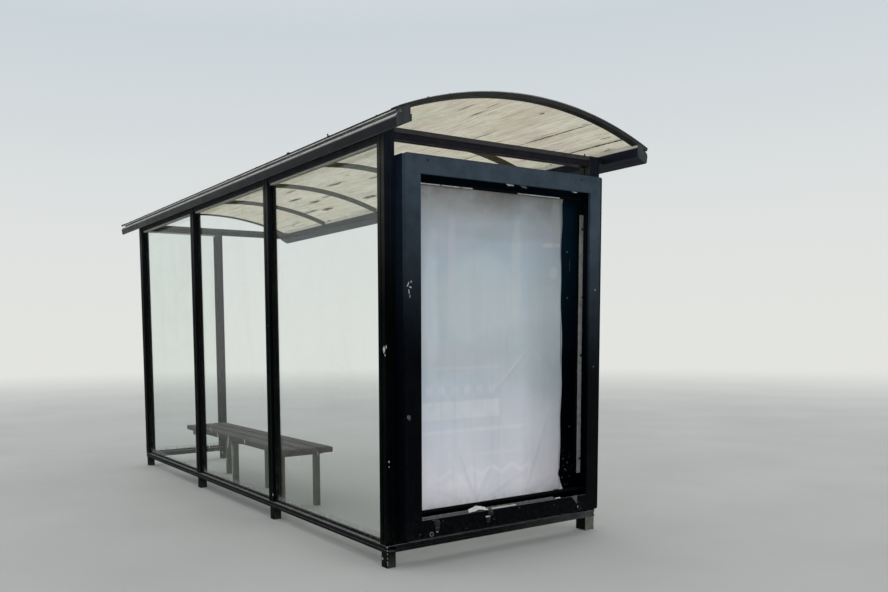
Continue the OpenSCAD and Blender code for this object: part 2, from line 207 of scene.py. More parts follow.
def paint(name, low, high=None, near=None, far=None, under=None, rise=(1.5, 2.2), bend=1.3, tilt=0.0,
          shine=0.03, rough=0.48, dust=(0.12, 0.12, 0.11), top=0.6, top_from=0.35, top_full=0.85, film=0.04,
          splash=0.0, rub=0.12, chips=0.0, dents=0.0, rim=None, extra=None):
    """Dark coat on metal, painted lighter towards the sky and on the end faces as painted sky light, with painted
    light and shade on the undersides, dust on the tops that on the eaves is a painted highlight, runs, splashes,
    rubbed edges and dents.
    """
    n = Nodes(name)
    cloud = n.noise(2.3, 5)
    # level: painted sky light and reflection, rising towards the top, tilted across the door
    level = n.math("POWER", n.span(n.plus(n.z, n.times(n.y, -tilt)), *rise), bend)
    level = n.math("ADD", level, n.times(level, n.span(cloud, 0.3, 0.7, -0.16, 0.16)), True)
    # Painted sky light on the end faces: they take the near colour in place of the high one.
    tone = n.blend(n.span(n.face_x, -0.5, -0.9), high, near) if near else high or low
    if far:
        low = n.blend(n.span(n.x, -1.4, 0.7), low, far)
    colour = n.blend(level, low, tone)
    if rim:
        colour = n.blend(rim(n), colour, (0.25, 0.28, 0.3), "MULTIPLY")
    # Painted light and shade of the undersides: down-facing faces take the under colour.
    if under:
        colour = n.blend(n.span(n.up, -0.15, -0.5), colour, under)
    colour = n.blend(n.mottle(13, 5, 0.35, 0.7, 0, 0.45), colour, (0.35,) * 3, "MULTIPLY")
    patch = n.noise(24, 6)
    # Dust on up-facing faces; with the pale eave colour it is a painted highlight on the eave's shoulder.
    top_dust_and_highlight = n.times(n.span(n.up, top_from, top_full), n.span(patch, 0.25, 0.6, 0.6 * top, top))
    run = n.times(n.span(n.streaks(85, 85, 1.7, 4), 0.52, 0.74), n.span(cloud, 0.38, 0.62, 0, film * 2))
    spatter = n.times(n.span(n.z, 0.36, 0.02, 0, splash), n.mottle(46, 6, 0.4, 0.66))
    haze = n.span(n.noise(7, 6, rough=0.7), 0.42, 0.78, 0, film)
    # This mask also lays the eaves' painted highlight, as well as dust, runs and splashes.
    dirt = n.most(top_dust_and_highlight, run, spatter, haze)
    if extra:
        dirt = n.most(dirt, extra(n))
    colour = n.blend(dirt, colour, dust)
    edge, rounded = n.edges(0.0028)
    bare = n.times(n.span(edge, 0.03, 0.22), n.mottle(38, 5, 0.46, 0.64, 0, rub))
    if chips:
        spots = n.span(n.cells(21, n.stretched(1, 1, 0.7)), 0.07, 0.05)
        bare = n.most(bare, n.times(spots, n.mottle(5, 2, 0.56, 0.6, 0, chips)))
    colour = n.blend(bare, colour, (0.24, 0.25, 0.25))
    height = n.plus(n.times(n.noise(120, 4), 0.25), n.times(n.noise(34, 2), 0.4 + dents * 5))
    height = n.plus(height, n.less(n.times(dirt, 0.6), n.times(bare, 0.8)))
    dull = n.plus(n.mottle(9, 4, 0.3, 0.7, rough - 0.07, rough + 0.1), n.times(n.most(dirt, bare), 0.35))
    return n.coat(colour, dull, shine, n.bump(height, 0.35, 0.0006, rounded))


def metal(name, colour, stained, rough, metallic, shine=0.4, stain=(0.02, 0.019, 0.016), shade=None):
    """Bare or galvanised metal: brushed, with an amount of dark stains, and rust in the hollows."""
    n = Nodes(name)
    brushed = n.streaks(260, 260, 9, 3)
    mask = n.span(n.noise(31, 6, rough=0.75), 0.46, 0.66, 0, stained)
    rust = n.mottle(52, 4, 0.62, 0.74, 0, stained * 0.5)
    pale = [min(c * 1.2, 0.9) for c in colour]
    tint = n.layers([c * 0.72 for c in colour], (n.span(n.noise(13, 6, rough=0.7), 0.3, 0.7), pale),
                    (mask, stain), (rust, (0.13, 0.048, 0.016)))
    if shade:
        tint = shade(n, tint)
    bright = n.math("SUBTRACT", metallic, n.most(mask, rust), True)
    dull = n.plus(n.span(brushed, 0.3, 0.7, rough - 0.08, rough + 0.1), n.times(mask, 0.3))
    normal = n.bump(n.plus(brushed, n.times(mask, 1.5)), 0.25, 0.0003, n.edges(0.0016)[1])
    return n.coat(tint, dull, shine, normal, Metallic=bright)


def glass_pane():
    """Clear pane that mirrors by Fresnel under a thin film of dust, smears, runs and specks."""
    n = Nodes("glass_pane")
    clear = n.get("BsdfTransparent", {0: (0.965, 0.98, 0.972)})
    mirror = n.get("BsdfGlossy", {"Color": (0.9, 0.93, 0.93), "Roughness": n.mottle(6, 3, 0.3, 0.7, 0.01, 0.05)})
    pane = n.mix(n.times(n.get("Fresnel", {"IOR": 1.45}), 0.12), clear, mirror)
    low = n.math("POWER", n.span(n.z, 0.85, 0.13), 1.8)
    wiped = n.plus(n.span(n.streaks(2.2, 2.2, 0.9, 5, bent=1.2), 0.45, 0.8, 0, 0.03),
                   n.span(n.streaks(1.6, 1.6, 6, 4, 0.7), 0.55, 0.75, 0, 0.02))
    film = n.plus(0.0045, n.times(low, 0.009), n.times(wiped, n.span(n.z, 0.4, 1.7, 0.25, 1)))
    runs = n.times(n.span(n.streaks(75, 75, 0.8, 3), 0.62, 0.78), n.mottle(1.4, 3, 0.4, 0.7, 0, 0.07))
    specks = n.times(n.span(n.cells(85), 0.15, 0.06), n.mottle(3.5, 4, 0.52, 0.68, 0, 0.5))
    crust = n.times(n.span(n.z, 0.175, 0.13), n.mottle(30, 5, 0.3, 0.6, 0.1, 0.45))
    film = n.math("ADD", film, n.most(runs, specks, crust), True)
    grey = n.blend(n.noise(5, 3), (0.38, 0.39, 0.36), (0.52, 0.53, 0.5))
    dust = n.surface(grey, 0.85, 0.1, n.bump(n.noise(120, 3), 0.2, 0.0003))
    dust = n.mix(0.45, dust, n.get("BsdfTranslucent", {"Color": grey}))
    return n.finish(n.mix(film, pane, dust))


# Dark stains on the roof: middle x, y, half length along the shelter, half width, strength
ROOF_STAINS = [
    (-2, -0.508, 0.4, 0.0045, 1), (-2.13, -0.747, 0.32, 0.005, 1), (-2.08, 0.25, 0.1, 0.006, 0.8),
    (-1.97, 0.09, 0.07, 0.005, 0.8), (-2.13, 0.12, 0.07, 0.0045, 0.6), (-2.175, -0.215, 0.02, 0.009, 0.7),
    (-2.22, -0.69, 0.04, 0.006, 0.6), (-1.6, -0.25, 0.12, 0.0045, 0.6), (-1.2, -0.48, 0.16, 0.005, 0.6),
    (1.02, -0.305, 0.1, 0.018, 0.8), (0.91, -0.451, 0.09, 0.016, 0.85), (0.99, -0.629, 0.08, 0.018, 0.9),
    (0.2, -0.255, 0.1, 0.016, 0.8), (0.26, -0.62, 0.09, 0.018, 0.9), (1.27, -0.596, 0.12, 0.014, 0.7),
    (0.6, -0.42, 0.12, 0.01, 0.7), (-0.3, -0.35, 0.14, 0.012, 0.7), (0.75, -0.12, 0.1, 0.012, 0.6),
    (-0.6, 0.33, 0.14, 0.014, 0.6), (0.1, 0.45, 0.12, 0.012, 0.6), (1.6, 0.2, 0.1, 0.014, 0.6),
]


def roof_plastic():
    """Aged translucent sheet: flutes along the shelter, stained flutes, litter, and moss at the low edges."""
    n = Nodes("roof_plastic")
    fine = n.streaks(6.5, 150, 150, 6, 0.75)
    dashes = n.streaks(5, 95, 95, 5, 0.7)
    lines = n.streaks(2.4, 80, 80, 5, 0.6)
    broad = n.streaks(1.8, 24, 24, 4, 0.6)
    ripple = n.streaks(60, 16, 16, 4, 0.6)
    soiled = n.mottle(3.3, 3, 0.4, 0.6, 0.25, 1)
    tint = n.layers(
        (0.95, 0.92, 0.83),
        (n.mottle(1.7, 5, 0.35, 0.65), (0.93, 0.93, 0.86)),
        (n.mottle(2.9, 4, 0.48, 0.68, 0, 0.55), (0.89, 0.81, 0.77)),
        (n.span(broad, 0.42, 0.7, 0, 0.6), (0.74, 0.7, 0.6)),
        (n.span(fine, 0.5, 0.66, 0, 0.75), (0.52, 0.48, 0.38)),
        (n.span(ripple, 0.5, 0.75, 0, 0.3), (0.62, 0.57, 0.46)),
        (n.times(n.span(dashes, 0.59, 0.64, 0, 0.65), soiled), (0.34, 0.3, 0.21)),
        (n.times(n.span(lines, 0.61, 0.66, 0, 0.75), soiled), (0.22, 0.19, 0.12)))
    wobble = n.span(n.streaks(11, 45, 45, 5, 0.65), 0.3, 0.7, -0.45, 0.45)
    stain = None
    for mx, my, half, width, amount in ROOF_STAINS:
        away = n.reach(n.times(n.less(n.x, mx), 1 / half), n.times(n.less(n.y, my), 1 / width))
        mark = n.span(n.plus(away, wobble), 1.35, 0.65, 0, amount)
        stain = mark if stain is None else n.most(stain, mark)
    stain = n.times(stain, n.mottle(30, 5, 0.28, 0.5, 0.25, 1))
    reach = n.span(n.streaks(12, 12, 12, 6, 0.75), 0.3, 0.72, 0, 0.085)
    moss = n.span(n.plus(n.math("ABSOLUTE", n.y), reach), 0.868, 0.878)
    litter = n.times(n.span(n.cells(7.5, n.stretched(0.45, 1.3, 1.3)), 0.12, 0.08),
                     n.mottle(19, 4, 0.45, 0.6, 0.2, 0.9), n.mottle(0.8, 2, 0.48, 0.54))
    tint = n.blend(n.most(stain, moss, n.times(litter, 0.8)), tint, (0.04, 0.034, 0.02))
    flutes = n.make("TexWave", {"Vector": n.place, "Scale": 9.8, "Distortion": 0},
                    wave_type="BANDS", bands_direction="Y", wave_profile="SIN").outputs[1]
    tint = n.blend(n.span(flutes, 0.3, 0, 0, 0.22), tint, (0.6, 0.56, 0.46))
    normal = n.bump(n.plus(n.times(flutes, 0.5), n.times(fine, 0.6), n.times(broad, 1.2)), 0.5, 0.0012)
    skin = n.surface(tint, n.span(broad, 0.3, 0.7, 0.35, 0.6), 0.35, normal)
    through = n.get("BsdfTranslucent", {"Color": tint, "Normal": normal})
    return n.finish(n.mix(0.88, skin, through))


def rubber():
    """Dark beads, dusty near the ground, and a pale band under the back rails, painted light that stands in for
    the bright roof seen through the glass.
    """
    n = Nodes("rubber_bead")
    dusty = n.times(n.mottle(30, 5, 0.4, 0.7), n.span(n.z, 0.6, 0.1, 0.1, 0.8))
    colour = n.blend(dusty, (0.0035, 0.004, 0.0045), (0.06, 0.058, 0.052))
    # Painted light: the pale band under the back rails.
    pale = n.times(n.span(n.z, BEAD_FOOT - 0.001, BEAD_FOOT + 0.001), n.mottle(9, 4, 0.3, 0.6, 0.75, 1))
    colour = n.blend(pale, colour, (0.62, 0.63, 0.57))
    normal = n.bump(n.noise(150, 3), 0.3, 0.0005, n.edges(0.003)[1])
    return n.coat(colour, n.mottle(60, 3, 0.3, 0.7, 0.6, 0.85), 0.08, normal)


def wood():
    """Weathered dark timber, darkened further as painted shade, with grain, rings and rubbed edges."""
    n = Nodes("bench_timber")
    grain = n.streaks(3.2, 70, 70, 6, 0.6, 0.4)
    rings = n.streaks(0.8, 16, 16, 3, bent=1.5)
    grey = n.times(n.mottle(4, 5, 0.42, 0.7), n.span(n.up, 0.2, 0.9, 0.2, 0.6))
    edge, rounded = n.edges(0.004)
    rubbed = n.times(n.span(edge, 0.02, 0.2), n.mottle(22, 4, 0.4, 0.6, 0.1, 0.6))
    # The tones, grey tops too, are kept darker than the timber as painted shade.
    colour = n.layers((0.016, 0.009, 0.005),
                      (n.span(grain, 0.3, 0.7), (0.07, 0.042, 0.025)),
                      (n.span(rings, 0.45, 0.6, 0, 0.5), (0.024, 0.014, 0.008)),
                      (grey, (0.055, 0.05, 0.04)), (rubbed, (0.12, 0.093, 0.06)))
    normal = n.bump(n.plus(grain, n.times(rings, 0.3)), 0.6, 0.0012, rounded)
    return n.coat(colour, n.span(grain, 0.3, 0.7, 0.5, 0.75), 0.3, normal)


# Tones of the faded print from its foot to its head; the last ones, near black, are painted shade under the door
# frame
PRINT_TONES = (
    (0, (0.74, 0.72, 0.76)), (0.06, (0.97, 0.93, 1)), (0.2, (0.85, 0.86, 0.95)), (0.42, (0.61, 0.695, 0.77)),
    (0.62, (0.585, 0.67, 0.72)), (0.78, (0.49, 0.585, 0.68)), (0.88, (0.43, 0.485, 0.54)),
    (0.93, (0.3, 0.315, 0.325)), (0.965, (0.225, 0.225, 0.22)), (0.988, (0.15, 0.15, 0.135)),
    (1, (0.09, 0.09, 0.08)),
)

# Round shapes of the print: middle y, z, half sizes, turn, softness, raggedness; strength; tone
PRINT_SPOTS = (
    ((0.2, 1.42, 0.27, 0.27, 0, 0.2, 0.05), 0.34, (0.74, 0.785, 0.79)),
    ((0.05, 1.18, 0.62, 0.085, -0.2), 0.35, (0.53, 0.6, 0.64)),
    ((0.35, 1.1, 0.45, 0.07, 0.25), 0.3, (0.69, 0.67, 0.72)),
    ((-0.2, 1.02, 0.34, 0.1, 0.35), 0.3, (0.53, 0.61, 0.63)),
    ((0.45, 1.72, 0.22, 0.06, 0.1), 0.3, (0.6, 0.585, 0.66)),
    ((-0.02, 1.8, 0.3, 0.045, -0.05), 0.3, (0.33, 0.36, 0.385)),
    ((0.4, 1.62, 0.03, 0.22), 0.22, (0.72, 0.67, 0.71)),
    ((0.54, 1.36, 0.05, 0.36), 0.32, (0.8, 0.86, 0.92)),
    ((-0.24, 1.3, 0.12, 0.42), 0.3, (0.52, 0.59, 0.61)),
    ((-0.06, 1.5, 0.04, 0.36, 0.03), 0.25, (0.72, 0.73, 0.72)),
    ((-0.345, 1.75, 0.07, 0.014, -0.05), 0.55, (0.72, 0.75, 0.79)),
    ((-0.355, 1.59, 0.03, 0.035, 0.5), 0.45, (0.74, 0.77, 0.78)),
    ((-0.365, 1.88, 0.035, 0.14), 0.45, (0.44, 0.455, 0.43)),
)

# Plain bands of the print: y from, to, z from, to, softness; strength; tone
PRINT_BANDS = (
    ((0.055, 0.72, 0.778, 0.876, 0.006), 0.6, (0.86, 0.89, 0.91)),
    ((0.05, 0.52, 1.05, 1.066, 0.005), 0.28, (0.78, 0.81, 0.82)),
    ((-0.13, 0.62, 0.7, 0.722, 0.007), 0.45, (0.88, 0.92, 0.96)),
    ((-0.12, 0.36, 0.562, 0.582, 0.006), 0.38, (0.92, 0.88, 0.94)),
)

# Folds in the film, each a painted highlight with a painted shadow beside it: middle y, z, half length and turn
FOLD_SHADING = (
    (0.3, 0.44, 0.16, 1.15), (0.19, 0.4, 0.12, 2.1), (0.25, 0.42, 0.12, 1.52), (0.08, 0.36, 0.16, 2.75),
    (0.43, 0.36, 0.14, 0.35), (-0.02, 1.03, 0.14, -0.73), (-0.21, 0.52, 0.22, 1.95),
)


def poster_print():
    """Sun-faded plain print: grey head that darkens to near black as painted shade, bluish middle, lilac foot, a
    disc, slanting bands, dots, a wave, and painted highlights and shadows along its folds and its curled edge.
    """
    n = Nodes("poster_print")

    def box(y0, y1, z0, z1, soft):
        return n.times(n.window(n.y, y0, y1, soft), n.window(n.z, z0, z1, soft))

    def spot(y0, z0, half_y, half_z, turn=0.0, soft=0.35, ragged=0.25):
        dy, dz = n.less(n.y, y0), n.less(n.z, z0)
        c, s = cos(turn), sin(turn)
        a = n.times(n.plus(n.times(dy, c), n.times(dz, s)), 1 / half_y)
        b = n.times(n.plus(n.times(dy, -s), n.times(dz, c)), 1 / half_z)
        distance = n.plus(n.reach(a, b), n.mottle(9, 4, 0.3, 0.7, -ragged, ragged))
        return n.span(distance, 1 + soft, 1 - soft, kind="SMOOTHSTEP")

    head = n.plus(n.z, n.mottle(5, 4, 0.3, 0.7, -0.018, 0.018))
    ramp = n.make("ValToRGB", {0: n.span(head, 0.29, 2.03)})
    fill_ramp(ramp.color_ramp, PRINT_TONES)
    colour = n.layers(ramp.outputs[0],
                      (n.mottle(2.6, 5, 0.4, 0.7, 0, 0.3), (0.66, 0.64, 0.67)),
                      (n.span(n.streaks(3.7, 3.7, 2.2, 4), 0.45, 0.7, 0, 0.28), (0.46, 0.56, 0.64)))
    blot = n.streaks(16, 16, 13, 5, bent=0.5)
    worn = n.span(blot, 0.3, 0.6, 0.45, 1)
    wave = n.plus(n.less(n.z, 0.474), n.times(n.math("SINE", n.times(n.y, 42)), 0.018))
    wave = n.times(n.span(n.math("ABSOLUTE", wave), 0.022, 0.008), box(-0.17, 0.52, 0.43, 0.52, 0.02))
    dots = n.plus(n.times(n.math("SINE", n.times(n.y, 70)), 0.5), 0.5)
    dots = n.times(box(0.06, 0.58, 0.915, 0.96, 0.012), n.span(dots, 0.35, 0.65), worn)
    shapes = [(spot(*at), amount, tone) for at, amount, tone in PRINT_SPOTS]
    shapes += [(n.times(box(*at), worn), amount, tone) for at, amount, tone in PRINT_BANDS]
    shapes += [(dots, 0.45, (0.84, 0.83, 0.88)), (n.times(wave, worn), 0.5, (0.97, 0.95, 1))]
    for mask, amount, tone in shapes:
        colour = n.blend(n.times(mask, amount), colour, tone)
    # Painted highlight of each fold, and its painted shadow just beside it.
    for y0, z0, length, turn in FOLD_SHADING:
        fold_highlight = n.times(spot(y0, z0, length, 0.01, turn, 0.8, 0.3), n.span(blot, 0.3, 0.6, 0.3, 1), 0.26)
        shade = n.times(spot(y0 - 0.014, z0 - 0.006, length, 0.012, turn, 0.8, 0.3), 0.16)
        colour = n.layers(colour, (fold_highlight, (0.95, 0.95, 0.98)), (shade, (0.4, 0.43, 0.48)))
    right = n.times(n.span(n.y, -0.1, -0.43), n.mottle(3, 4, 0.3, 0.7, 0.75, 1), n.span(n.z, 1.4, 0.5, 0.82, 1.3))
    colour = n.blend(right, colour, (0.54,) * 3, "MULTIPLY")
    # Painted shadow and highlight of the curled front edge: a dark line, and a pale band outside it.
    curl_shading = n.most(n.window(n.z, 1.66, 1.9, 0.03), n.window(n.z, 1.05, 1.32, 0.03),
                 n.times(n.span(n.z, 0.6, 0.5), 0.7))
    grime = n.times(n.span(n.z, 0.345, 0.29), n.mottle(25, 5, 0.4, 0.7, 0.05, 0.5))
    smudge = n.times(n.span(n.z, 1.9, 1.99), n.span(n.streaks(9, 9, 22, 5), 0.42, 0.6, 0, 0.5))
    colour = n.layers(
        colour,
        (n.times(n.window(n.y, -0.424, -0.414, 0.003), curl_shading, 0.65), (0.05, 0.055, 0.055)),
        (n.times(n.span(n.y, -0.424, -0.428), curl_shading, 0.65), (0.5, 0.51, 0.5)),
        (grime, (0.24, 0.23, 0.22)),
        (smudge, (0.2, 0.195, 0.175)),
        (n.span(n.streaks(22, 22, 1.2, 4), 0.5, 0.75, 0, 0.14), (0.38, 0.39, 0.41)))
    ripple = n.plus(n.streaks(7, 7, 2.6, 4), n.times(n.noise(60, 3), 0.12))
    return n.coat(colour, n.mottle(8, 4, 0.3, 0.7, 0.35, 0.55), 0.3, n.bump(ripple, 0.45, 0.004))


def plain(name, colour, other, scale, rough, shine=0.3):
    """Small parts: two mottled tones with a fine bump."""
    n = Nodes(name)
    tint = n.blend(n.mottle(scale, 5, 0.35, 0.65), colour, other)
    normal = n.bump(n.noise(scale * 3, 3), 0.4, 0.0005)
    return n.coat(tint, n.mottle(scale * 2, 3, 0.3, 0.7, rough - 0.1, rough + 0.12), shine, normal)


def tie_band(n):
    """Dust on the upper part of the tie beams, above the groove."""
    return n.times(n.span(n.z, 2.277, 2.283), n.mottle(12, 4, 0.3, 0.6, 0.55, 0.85))


def lip_band(n):
    """Painted highlight with some dust on the outer side of the lip under the roof sheet, and pale paint high on
    its inner side.
    """
    outer = n.span(n.times(n.face_y, n.y), -0.2, 0.2)
    # Patchy painted highlight on the outer side.
    worn = n.times(outer, n.mottle(14, 4, 0.3, 0.6, 0.4, 0.7))
    inner = n.times(n.less(1, outer), n.span(n.z, 2.3175, 2.3215))
    return n.most(n.times(n.span(n.z, 2.3055, 2.307), worn), inner)


def door_rim(n):
    """Dark outer edge of the door on its front side."""
    return n.span(n.y, door_low.y + 0.014, door_low.y + 0.009)


def dark_sides(n, tint):
    """Black sides of the uprights, and an olive cast at their upper end."""
    tint = n.blend(n.span(n.z, 1.55, 1.8), tint, (1, 1, 0.84), "MULTIPLY")
    return n.blend(n.span(n.math("ABSOLUTE", n.face_y), 0.5, 0.8), tint, (0.002, 0.003, 0.004))


def lock_face(n, tint):
    """Dark barrel inside the bright collar of the near lock, and a dull far lock."""
    dy, dz = n.less(n.math("ABSOLUTE", n.less(n.y, MID_Y)), 0.559), n.less(n.z, 0.178)
    dark = n.most(n.span(n.reach(dy, dz), 0.0095, 0.008), n.span(n.y, 0.1, -0.1))
    return n.blend(dark, tint, (0.01, 0.012, 0.013))


def sill_band(n):
    """Dust that thickens on the near end sill towards the front, and along the sills' upper corner."""
    front = n.times(n.span(n.y, 0.1, -0.75), n.span(n.face_x, -0.5, -0.9, 0, 0.42),
                    n.mottle(18, 5, 0.3, 0.65, 0.35, 1))
    corner = n.times(n.span(n.z, 0.1185, 0.1215), n.mottle(15, 4, 0.35, 0.6, 0.3, 0.9))
    return n.most(front, corner)


def foot_band(n):
    """Pale end faces of the feet, palest on the front foot and near the ground."""
    near = n.span(n.face_x, -0.5, -0.9)
    front = n.times(near, n.span(n.y, -0.5, -0.6), n.mottle(28, 5, 0.3, 0.6, 0.5, 0.85))
    return n.most(front, n.times(near, n.span(n.z, 0.08, 0, 0.03, 0.2)))


def case_runs(n):
    """Pale dried runs down the back of the case."""
    return n.times(n.span(n.streaks(60, 60, 0.9, 3), 0.66, 0.78), n.span(n.face_x, 0.5, 0.9, 0, 0.25))


def dress(material, *names):
    """Gives CAD nodes a material."""
    for name in names:
        mesh = nodes[name].data
        mesh.materials.clear()
        mesh.materials.append(material)


# Eave coat: its pale dust colour on the shoulder and lip is mostly a painted highlight, with some dust.
EAVE_DUST_AND_HIGHLIGHT = dict(dust=(0.88, 0.88, 0.84), shine=0.09, rough=0.38, top=1, top_from=0.15, top_full=0.75, film=0.005,
                 extra=lip_band)
# The high and near colours of these paints are painted sky light; the under colours are painted light on the
# eaves and painted shade on the arches.
dress(paint("post_paint", (0.001, 0.0018, 0.0022), (0.072, 0.074, 0.064), near=(0.017, 0.024, 0.037),
      far=(0.006, 0.0075, 0.0072), rise=(1.35, 2.2), bend=1.6, shine=0.012, film=0.015, splash=0.12, rub=0.05),
      "back_post_1", "back_post_2", "back_post_3", "back_post_4", "near_front_post", "far_side_post")
dress(paint("rail_paint", (0.0225, 0.0215, 0.03), dust=(0.085, 0.083, 0.09), top=0.5, film=0.03,
      extra=tie_band), "near_tie_beam", "far_tie_beam")
# A lighter copy of the rail paint, painted light on the back rail that lies in the eave's shade.
dress(paint("back_rail_lit_paint", (0.05, 0.054, 0.059), dust=(0.13, 0.135, 0.14), top=0.5, film=0.06),
      "back_top_rail")
dress(paint("sill_paint", (0.0055, 0.0062, 0.008), dust=(0.25, 0.25, 0.245), top=0.8, film=0.05,
      splash=0.08, extra=sill_band), "back_sill", "near_end_sill", "far_side_sill")
dress(paint("foot_paint", (0.004, 0.0045, 0.0035), dust=(0.205, 0.21, 0.175), shine=0.02, top=0.55,
      splash=0.06, extra=foot_band), "feet")
dress(paint("eave_paint", (0.0065, 0.0085, 0.012), under=(0.048, 0.054, 0.062), **EAVE_DUST_AND_HIGHLIGHT), "back_eave_beam")
dress(paint("front_eave_paint", (0.012, 0.0165, 0.032), under=(0.018, 0.023, 0.038), **EAVE_DUST_AND_HIGHLIGHT),
      "front_eave_beam")
dress(paint("cap_paint", (0.046, 0.052, 0.06), dust=(0.12, 0.125, 0.12), shine=0.12, rough=0.45, film=0.12,
      dents=1.0), "eave_end_caps")
dress(paint("arch_paint", (0.036, 0.038, 0.037), dust=(0.16, 0.16, 0.15), shine=0.05, film=0.08,
      under=(0.029, 0.03, 0.025)), "near_end_arch", "far_end_arch")
dress(paint("rib_paint", (0.092, 0.089, 0.052), dust=(0.14, 0.135, 0.09), shine=0.08, rough=0.55, film=0.2),
      "roof_rib_1", "roof_rib_2", "roof_rib_3", "roof_rib_4")
dress(paint("door_paint", (0.0003, 0.0012, 0.0026), (0.059, 0.084, 0.112), rise=(1, 1.96), bend=1.5, tilt=0.15,
      film=0.015, splash=0.09, rub=0.15, rim=door_rim), "case_door")
dress(paint("case_paint", (0.0001, 0.0013, 0.004), (0.011, 0.018, 0.031), near=(0.0055, 0.023, 0.042),
      rise=(0.9, 2), bend=1.4, shine=0.02, rough=0.55, film=0.01, splash=0.05, rub=0.08, extra=case_runs),
      "poster_case")
dress(paint("bench_paint", (0.095, 0.1, 0.055), dust=(0.13, 0.125, 0.1), shine=0.3, rough=0.42, film=0.2,
      splash=0.3, rub=0.5, chips=0.6), "bench_legs")
dress(metal("galvanised", (0.8, 0.83, 0.82), 0.35, 0.65, 0, 0.15, (0.1, 0.1, 0.09), dark_sides), "case_uprights")
dress(metal("lock_metal", (0.17, 0.185, 0.19), 0.4, 0.5, 0, 0.06, shade=lock_face), "door_locks")
dress(glass_pane(), "back_glass_1", "back_glass_2", "back_glass_3", "far_side_glass")
dress(rubber(), "back_glass_beads", "far_side_bead")
dress(roof_plastic(), "roof_sheet")

TIMBER = wood()
STEEL = metal("steel", (0.2, 0.21, 0.21), 0.6, 0.42, 0.6)
LATCH_METAL = metal("latch_metal", (0.055, 0.06, 0.063), 0.5, 0.5, 0.2)
BRIGHT = metal("bright_metal", (0.62, 0.64, 0.65), 0.35, 0.42, 0.3)
DARK_SCREW = metal("dark_screw", (0.018, 0.021, 0.024), 0.6, 0.45, 0.6)
BAR_PAINT = plain("bar_paint", (0.0012, 0.002, 0.003), (0.003, 0.0034, 0.004), 30, 0.6, 0.03)
CHIP = plain("chipped_paint", (0.4, 0.41, 0.41), (0.64, 0.66, 0.66), 90, 0.7)
GREY_CHIP = plain("grey_chip", (0.05, 0.055, 0.05), (0.12, 0.125, 0.12), 90, 0.7)
STRIP_WEAR = plain("worn_strip", (0.082, 0.088, 0.083), (0.15, 0.158, 0.148), 55, 0.65)
SEAL = plain("roof_seal", (0.22, 0.22, 0.21), (0.36, 0.37, 0.35), 35, 0.7, 0.1)
PAPER = plain("scrap_paper", (0.6, 0.62, 0.61), (0.74, 0.75, 0.74), 30, 0.85, 0.1)
GLASS_MARK = plain("glass_mark", (0.5, 0.51, 0.49), (0.72, 0.73, 0.71), 80, 0.8, 0.1)
dress(TIMBER, "bench_seat")
dress(STEEL, "door_hinges")
dress(BAR_PAINT, "poster_bars")
dress(PAPER, "poster")


# Shapes
SUNK = 0.0005   # how far a loose head or plate reaches into its face
NEAR, BACK = (Y, Z, -X), (X, Z, Y)   # directions in the near and the back faces, and their normals


def place(name, data):
    """New object in the scene."""
    thing = bpy.data.objects.new(name, data)
    bpy.context.scene.collection.objects.link(thing)
    return thing


def build(name, bm, material):
    """Object with a bmesh's shape in one material."""
    mesh = bpy.data.meshes.new(name)
    bm.to_mesh(mesh)
    bm.free()
    mesh.materials.append(material)
    return place(name, mesh)


def add(name, bm, material, body, smooth=False, thick=None):
    """Turns a bmesh into a piece that rides on a body."""
    bmesh.ops.recalc_face_normals(bm, faces=bm.faces)
    piece = build(name, bm, material)
    piece.data.polygons.foreach_set("use_smooth", [smooth] * len(piece.data.polygons))
    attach(piece, body)
    if thick:
        piece.modifiers.new("thickness", "SOLIDIFY").thickness = thick
    return piece


def tube(bm, rings):
    """Closed skin over a row of rings with the same number of corners."""
    count = len(rings[0])
    for a, b in zip(rings, rings[1:]):
        for k in range(count):
            bm.faces.new((a[k], a[(k + 1) % count], b[(k + 1) % count], b[k]))
    bm.faces.new(rings[0][::-1])
    bm.faces.new(rings[-1])


def lathe(bm, at, direction, profile, sides, turn=0.0):
    """Closed turned shape along a direction: profile is a list of (radius, height)."""
    turned = Matrix.Translation(Vector(at)) @ Z.rotation_difference(Vector(direction)).to_matrix().to_4x4()
    rings = []
    for radius, height in profile:
        angles = [turn + 2 * pi * k / sides for k in range(sides)]
        points = [Vector((radius * cos(a), radius * sin(a), height)) for a in angles]
        rings.append([bm.verts.new(turned @ p) for p in points])
    tube(bm, rings)


def button_head(bm, at, direction, radius, height):
    """Domed screw or rivet head with a dimple."""
    outline = ((1, 0.35), (0.86, 0.75), (0.55, 1), (0.42, 1), (0.36, 0.35))
    lathe(bm, at, direction, [(radius, -SUNK)] + [(radius * r, height * h) for r, h in outline], 18)


def hex_head(bm, at, direction, size, height, turn):
    """Hexagon head on a round washer."""
    lathe(bm, at, direction, [(size * 1.5, -SUNK), (size * 1.5, 0.001), (size * 1.35, 0.0016)], 20)
    top = Vector(at) + Vector(direction).normalized() * 0.0014
    lathe(bm, top, direction, [(size, 0), (size, height * 0.8), (size * 0.82, height)], 6, turn)


def bar(bm, low, high, bevel):
    """Box between two corners with rounded edges."""
    low, high = Vector(low), Vector(high)
    made = bmesh.ops.create_cube(bm, size=1.0)["verts"]
    for v in made:
        v.co = Vector([low[k] + (v.co[k] + 0.5) * (high[k] - low[k]) for k in range(3)])
    edges = list({e for v in made for e in v.link_edges})
    bmesh.ops.bevel(bm, geom=edges, offset=bevel, segments=2, affect="EDGES", clamp_overlap=True)


